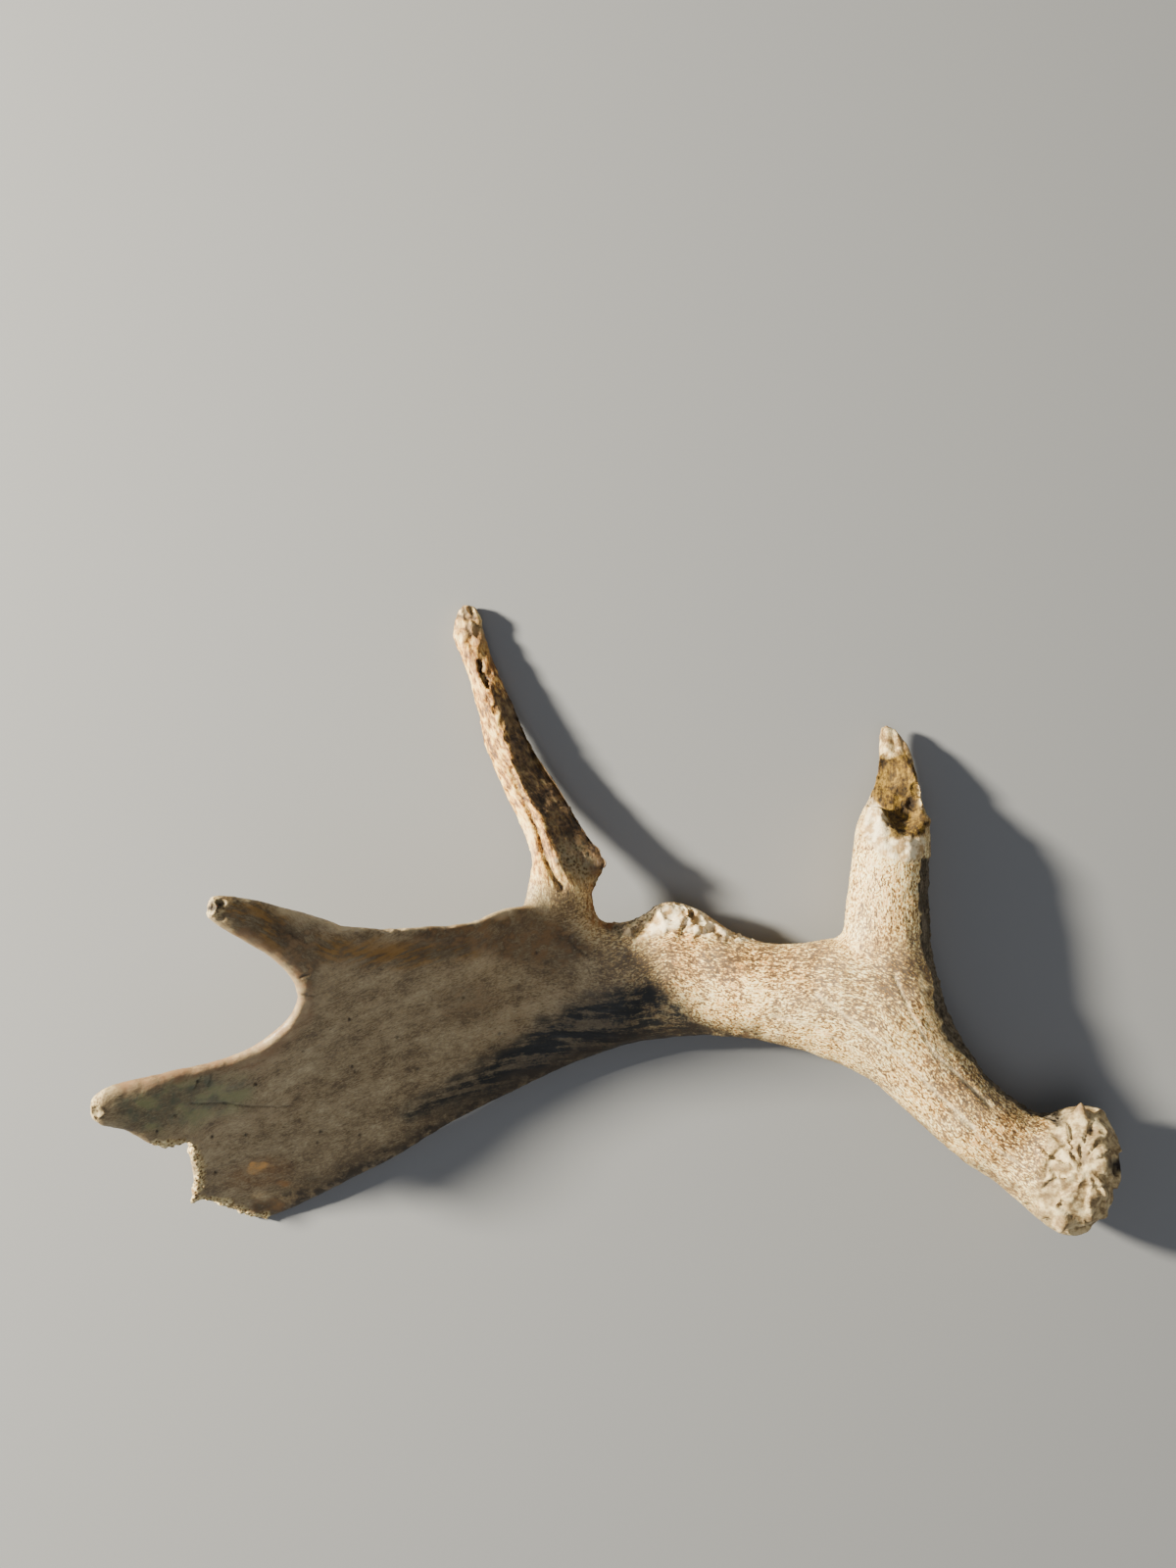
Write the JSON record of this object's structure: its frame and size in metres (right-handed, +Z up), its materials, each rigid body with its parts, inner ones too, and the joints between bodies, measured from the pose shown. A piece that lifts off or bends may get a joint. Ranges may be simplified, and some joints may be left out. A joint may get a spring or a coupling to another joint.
{
  "type": "moose antler",
  "caption": "Weathered shed moose antler with a knobbly burr, a round beam, a broken brow tine, a gnawed tall tine and a dished palm.",
  "frame": {"origin": "centre of the bounding box's underside, on the surface the antler lies on", "axes": "+X along the antler's length from the palm's lobe towards the burr, +Y towards the tall tine's tip, +Z up off the surface it lies on"},
  "size_m": [0.5448, 0.347, 0.1581],
  "materials": {
    "beam_bone": "weathered cream antler bone, fine lengthwise grain with grey-brown speckle, matte with a faint sheen",
    "brow_tine_bone": "weathered cream antler bone with pale streaks, broken top with a mossy brown hollow, matte",
    "palm_bone": "smooth tan antler bone with dark lengthwise streaks and olive stains, low satin",
    "tall_tine_bone": "gnawed tan antler bone with cross ridges and a cracked pale tip, matte",
    "end_tine_bone": "brown and olive stained antler bone with a blunt worn tip, low satin"
  },
  "bodies": {
    "root": {"beam": "beam_bone", "brow_tine": "brow_tine_bone", "palm": "palm_bone", "tall_tine": "tall_tine_bone", "end_tine": "end_tine_bone"}
  },
  "joints": []
}
